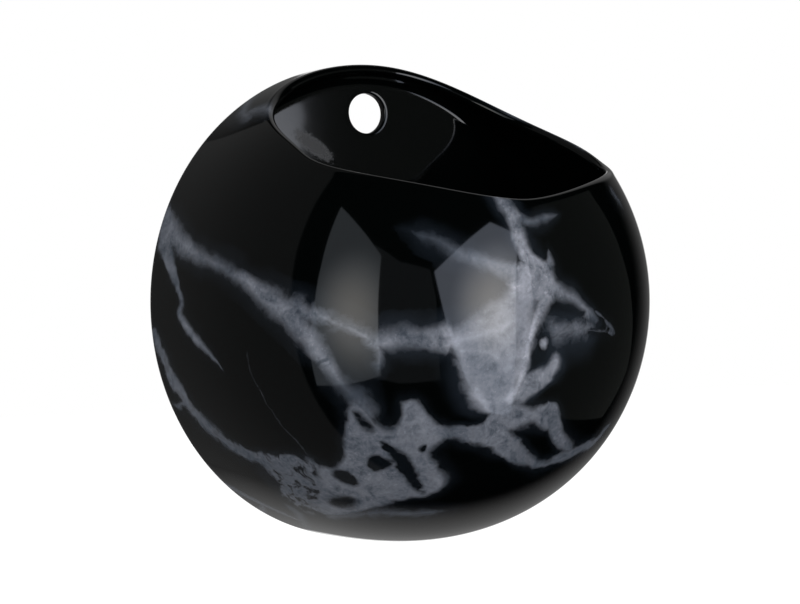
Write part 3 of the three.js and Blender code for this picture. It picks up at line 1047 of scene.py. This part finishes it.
    # The scuff is a long oval, brushed dull: 0 at its middle, 1 at its edge, and ragged by scratches.
    start, end = scuff
    along = end - start
    scuffed = add(tree, "Mapping",
                  {"Vector": place, "Location": (start + end) / 2,
                   "Rotation": (0, -math.atan2(along.z, along.x), 0),
                   "Scale": (along.length / 2, SCUFF_DEPTH * MM, SCUFF_HALF_WIDTH * MM)},
                  vector_type="TEXTURE")
    scuffed = add(tree, "VectorMath", {0: scuffed}, operation="LENGTH").outputs["Value"]
    scuffed = add(tree, "Math", {0: scuffed, 1: ripple(SCRATCH_SIZE, SCRATCH_SWING, 3, 0.7)})
    dulled = add(tree, "MapRange",
                 {"Value": scuffed, "From Min": 0.5, "From Max": 1.1,
                  "To Min": SCUFF_ROUGHNESS, "To Max": GLAZE_ROUGHNESS},
                 interpolation_type="SMOOTHSTEP")
    peel = add(tree, "TexNoise", {"Vector": place, "Scale": per_metre(PEEL_SIZE), "Detail": 1})
    bump = add(tree, "Bump", {"Strength": 1, "Distance": PEEL_HEIGHT * MM, "Height": peel})
    glaze = add(tree, "BsdfPrincipled",
                {"Base Color": colour, "Roughness": dulled, "IOR": GLAZE_IOR, "Normal": bump})
    add(tree, "OutputMaterial", {"Surface": glaze})
    return material


def bare_clay(colours):
    """Fired stoneware with no glaze on it, where the foot ring was wiped clean. It is matt, buff and
    grainy, with dark flecks."""
    material, tree = new_material("Bare fired stoneware")
    place = add(tree, "TexCoord").outputs["Object"]
    grain = add(tree, "TexNoise",
                {"Vector": place, "Scale": per_metre(CLAY_GRAIN_SIZE), "Detail": 5,
                 "Roughness": 0.7})
    tone = add(tree, "MapRange", {"Value": grain, "To Min": 0.7, "To Max": 1.2})
    colour = add(tree, "VectorMath", {0: tuple(colours.clay), 1: tone}, operation="MULTIPLY")
    bump = add(tree, "Bump", {"Strength": 0.5, "Distance": CLAY_GRAIN_HEIGHT * MM, "Height": grain})
    clay = add(tree, "BsdfPrincipled",
               {"Base Color": colour, "Roughness": CLAY_ROUGHNESS, "IOR": CLAY_IOR, "Normal": bump})
    add(tree, "OutputMaterial", {"Surface": clay})
    return material


def lit_cloth(name, screen, brightness, lamp):
    """Translucent cloth lit from behind. It is brightest and warmest in front of its lamp, and cooler
    and dimmer towards its edges."""
    material, tree = new_material(name)
    place = add(tree, "TexCoord").outputs["Object"]
    away = add(tree, "VectorMath", {0: place, 1: lamp}, operation="DISTANCE")
    nearness = add(tree, "MapRange",
                   {"Value": away.outputs["Value"], "From Max": screen.reach, "To Min": 1.0,
                    "To Max": 0.0}, interpolation_type="SMOOTHSTEP")
    strength = add(tree, "MapRange",
                   {"Value": nearness, "To Min": brightness * screen.edge,
                    "To Max": brightness * screen.spot})
    colour = add(tree, "Mix",
                 {0: nearness, MIX_A: opaque(linear(screen.edge_colour)),
                  MIX_B: opaque(linear(screen.spot_colour))}, data_type="RGBA")
    light = add(tree, "Emission", {"Color": colour.outputs[MIX_RESULT], "Strength": strength})
    add(tree, "OutputMaterial", {"Surface": light})
    return material


def pale_floor():
    """Matt white studio vinyl. It looks plain white to the camera, and keeps the shadow of the pot."""
    material, tree = new_material("Matt white studio floor")
    camera = add(tree, "LightPath").outputs["Is Camera Ray"]
    strength = add(tree, "Math", {0: camera, 1: FLOOR_LIFT}, operation="MULTIPLY")
    light = add(tree, "Emission", {"Strength": strength})
    matt = add(tree, "BsdfDiffuse", {"Color": opaque([FLOOR_WHITENESS] * 3)})
    both = add(tree, "AddShader", {0: matt, 1: light})
    add(tree, "OutputMaterial", {"Surface": both})
    return material


# ---- Studio -----------------------------------------------------------------------------------------

SOFTBOX_DISTANCE = 1300  # mm from the pot
SCREEN_DISTANCE = 1700


class Screen:
    """A softbox or a dim screen: its corners and its lamp, where the glaze mirrors them in the picture,
    how far away it stands, its brightness at the edges and in front of the lamp, as shares of the
    softbox setting, the radius of the lamp's spot in metres, and the colours of the cloth there."""

    def __init__(self, corners, lamp, away, edge, spot, reach, edge_colour, spot_colour):
        self.corners, self.lamp, self.away = corners, lamp, away
        self.edge, self.spot, self.reach = edge, spot, reach
        self.edge_colour, self.spot_colour = edge_colour, spot_colour


SCREENS = {
    "softbox_left": Screen(
        [(341, 207), (381, 256), (381, 376), (352, 384), (317, 386), (309, 345), (315, 300),
         (322, 262)],
        (353, 316), SOFTBOX_DISTANCE, 0.4, 1.95, 0.72, 0xE4EEF8, 0xFFFAF2,
    ),
    "softbox_right": Screen(
        [(434, 272), (490, 222), (513, 232), (517, 250), (517, 262), (516, 275), (515, 300),
         (515, 330), (514, 370), (509, 416), (487, 413), (467, 383), (452, 345)],
        (490, 308), SOFTBOX_DISTANCE, 1.15, 3.5, 0.44, 0xDCE6FA, 0xFFFBF6,
    ),
    "screen_middle": Screen(
        [(375, 245), (400, 262), (430, 270), (436, 300), (437, 330), (440, 380), (400, 384),
         (375, 378)],
        (410, 310), SCREEN_DISTANCE, 0.075, 0.075, 1.0, 0xF0F6FF, 0xF0F6FF,
    ),
    "screen_right": Screen(
        [(553, 208), (591, 195), (622, 255), (632, 305), (627, 370), (602, 418), (540, 416),
         (500, 400), (508, 330), (508, 270), (520, 222)],
        (600, 300), SCREEN_DISTANCE, 0.045, 0.045, 1.0, 0xF4FAF4, 0xF4FAF4,
    ),
}

# What the glaze mirrors behind the pot: the way there, how near to that way it starts and is full, as
# a cosine, and its brightness. The white background is straight behind, where the camera looks.
ROOM = (
    ((0.545, 0.839, 0.0), 0.958, 0.98, 1.0),
    ((0.545, 0.839, 0.0), 0.6, 0.98, 0.15),
    ((0.47, 0.68, -0.56), 0.8, 1.0, 0.3),
    ((0.62, 0.5, 0.6), 0.86, 0.97, 0.28),
)
LEFT_WALL, LEFT_WALL_FADE = 0.1, 0.03  # brightness of the wall on the left, and its soft near end

LAMPS = (
    # Name, place in metres, size in metres, power in watts.
    ("left_lamp", (-1.3, -0.7, 0.5), 0.8, 12),
    ("right_lamp", (0.3, -1.5, 0.5), 0.8, 12),
)
LAMP_AIM = Vector((0, -0.05, -0.07))  # the middle of the pot
FLOOR_SIZE = 12  # metres


# ---- Operators --------------------------------------------------------------------------------------

LAND_DEPTH = 0.02 * MM  # what lies flatter against the wall than this is the land of the foot ring


class WALLPOT_OT_pot(bpy.types.Operator):
    """Models the pot, marbles it and glazes it"""

    bl_idname = "wallpot.pot"
    bl_label = "Wall Pot"

    def execute(self, context):
        shape, view = PotShape(context.scene.pot_sizes), View()
        colours = context.scene.glaze_colours
        rings = [(in_metres(shape, ring), marbled) for ring, marbled in shell_rings(shape)]
        pot = loft("wall_pot", rings)
        smooth(pot, SMOOTHING)
        layers, accents = paint(pot, shape, view)
        scuff = [Vector(end) for end in in_metres(shape, view.on_back_panel(shape, SCUFF_ENDS))]
        pot.data.materials.append(marbled_glaze(colours, layers, accents, scuff))
        pot.data.materials.append(bare_clay(colours))
        for face in pot.data.polygons:
            face.material_index = int(face.center.y > -LAND_DEPTH)
        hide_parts("planter_shell")
        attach(pot, "root")
        return {"FINISHED"}


class WALLPOT_OT_studio(bpy.types.Operator):
    """Sets up the floor, the softboxes, the light and the camera"""

    bl_idname = "wallpot.studio"
    bl_label = "Studio"

    def execute(self, context):
        shape, view = PotShape(context.scene.pot_sizes), View()
        settings = context.scene.studio_settings
        for name, screen in SCREENS.items():
            corners = in_metres(shape, view.mirrored(shape, screen.corners, screen.away))
            lamp = in_metres(shape, view.mirrored(shape, screen.lamp, screen.away))[0]
            emitter(name, corners, lit_cloth(name, screen, settings.softbox, lamp))
        self.floor(settings)
        self.world(context, settings)
        self.lamps()
        self.camera(context, shape, view)
        return {"FINISHED"}

    def floor(self, settings):
        bpy.ops.object.select_all(action="DESELECT")
        bpy.ops.mesh.primitive_plane_add(size=FLOOR_SIZE, location=(0, 0, -settings.floor_drop))
        bpy.ops.object.transform_apply(location=True)
        floor = bpy.context.object
        floor.name = "floor"
        floor.data.materials.append(pale_floor())
        floor.visible_glossy = False

    def world(self, context, settings):
        """White behind the pot, a dim room in front of it, and an even fill light."""
        world = bpy.data.worlds.new("Studio")
        world.use_nodes = True
        tree = world.node_tree
        tree.nodes.clear()
        path = add(tree, "LightPath").outputs
        way = add(tree, "TexCoord").outputs["Generated"]
        mirrored = 0.0
        for towards, start, end, brightness in ROOM:
            nearness = add(tree, "VectorMath", {0: way, 1: Vector(towards).normalized()},
                           operation="DOT_PRODUCT").outputs["Value"]
            part = add(tree, "MapRange",
                       {"Value": nearness, "From Min": start, "From Max": end, "To Max": brightness},
                       interpolation_type="SMOOTHSTEP")
            mirrored = add(tree, "Math", {0: part, 1: mirrored}, operation="MAXIMUM")
        sides = add(tree, "SeparateXYZ", {0: way}).outputs
        on_left = add(tree, "Math", {0: sides[X], 1: 0.0}, operation="LESS_THAN")
        left = add(tree, "MapRange", {"Value": sides[Y], "From Min": -LEFT_WALL_FADE,
                                      "From Max": 0, "To Max": LEFT_WALL})
        left = add(tree, "Math", {0: left, 1: on_left}, operation="MULTIPLY")
        mirrored = add(tree, "Math", {0: mirrored, 1: left}, operation="MAXIMUM")
        shows = add(tree, "Math",
                    {0: path["Is Glossy Ray"], 1: path["Is Transmission Ray"]}, operation="MAXIMUM")
        seen = add(tree, "Math", {0: shows, 1: mirrored}, operation="MULTIPLY")
        seen = add(tree, "Math", {0: seen, 1: path["Is Camera Ray"]}, operation="MAXIMUM")
        unseen = add(tree, "Math", {0: 1.0, 1: shows}, operation="SUBTRACT")
        fill = add(tree, "Math", {0: unseen, 1: settings.fill}, operation="MULTIPLY")
        strength = add(tree, "Math", {0: seen, 1: fill}, operation="MAXIMUM")
        light = add(tree, "Background", {"Color": (1, 1, 1, 1), "Strength": strength})
        add(tree, "OutputWorld", {"Surface": light})
        context.scene.world = world

    def lamps(self):
        """Softboxes as the matt parts and the marbling under the glaze are lit by them."""
        for name, place, size, power in LAMPS:
            data = bpy.data.lights.new(name, "AREA")
            data.shape, data.size, data.energy = "SQUARE", size, power
            lamp = bpy.data.objects.new(name, data)
            bpy.context.scene.collection.objects.link(lamp)
            lamp.location = place
            aim = LAMP_AIM - Vector(place)
            lamp.rotation_euler = aim.to_track_quat("-Z", "Y").to_euler()
            lamp.visible_camera = lamp.visible_glossy = False

    def camera(self, context, shape, view):
        data = bpy.data.cameras.new("camera")
        data.sensor_width = SENSOR_WIDTH
        data.lens = SENSOR_WIDTH * VIEW_FOCAL / IMAGE_WIDTH
        data.clip_start, data.clip_end = CLIP_NEAR, CLIP_FAR
        middle = view.rays([(IMAGE_WIDTH / 2, IMAGE_HEIGHT / 2)])[0]
        right = view.right - middle * (view.right @ middle)
        right /= np.linalg.norm(right)
        up = np.cross(right, middle)
        turn = Matrix(np.stack([right, up, -middle], 1).tolist())
        camera = bpy.data.objects.new("camera", data)
        context.scene.collection.objects.link(camera)
        eye = in_metres(shape, view.eye)[0]
        camera.matrix_world = Matrix.Translation(Vector(eye)) @ turn.to_4x4()
        context.scene.camera = camera


class WALLPOT_PT_panel(bpy.types.Panel):
    """Sizes, colours and light of the wall planter, and the buttons that make it"""

    bl_idname = "WALLPOT_PT_panel"
    bl_label = "Wall Planter"
    bl_space_type = "VIEW_3D"
    bl_region_type = "UI"
    bl_category = "Wall Planter"

    def draw(self, context):
        for group in (context.scene.pot_sizes, context.scene.glaze_colours,
                      context.scene.studio_settings):
            box = self.layout.box()
            for name in group.__annotations__:
                box.prop(group, name)
        self.layout.operator(WALLPOT_OT_pot.bl_idname)
        self.layout.operator(WALLPOT_OT_studio.bl_idname)


CLASSES = (PotSizes, GlazeColours, StudioSettings, WALLPOT_OT_pot, WALLPOT_OT_studio, WALLPOT_PT_panel)


def register():
    for cls in CLASSES:
        bpy.utils.register_class(cls)
    bpy.types.Scene.pot_sizes = PointerProperty(type=PotSizes)
    bpy.types.Scene.glaze_colours = PointerProperty(type=GlazeColours)
    bpy.types.Scene.studio_settings = PointerProperty(type=StudioSettings)


def unregister():
    del bpy.types.Scene.studio_settings
    del bpy.types.Scene.glaze_colours
    del bpy.types.Scene.pot_sizes
    for cls in reversed(CLASSES):
        bpy.utils.unregister_class(cls)


def main():
    register()
    bpy.context.scene.view_settings.view_transform = "Standard"
    bpy.ops.wallpot.studio()
    bpy.ops.wallpot.pot()


if __name__ == "__main__":
    main()
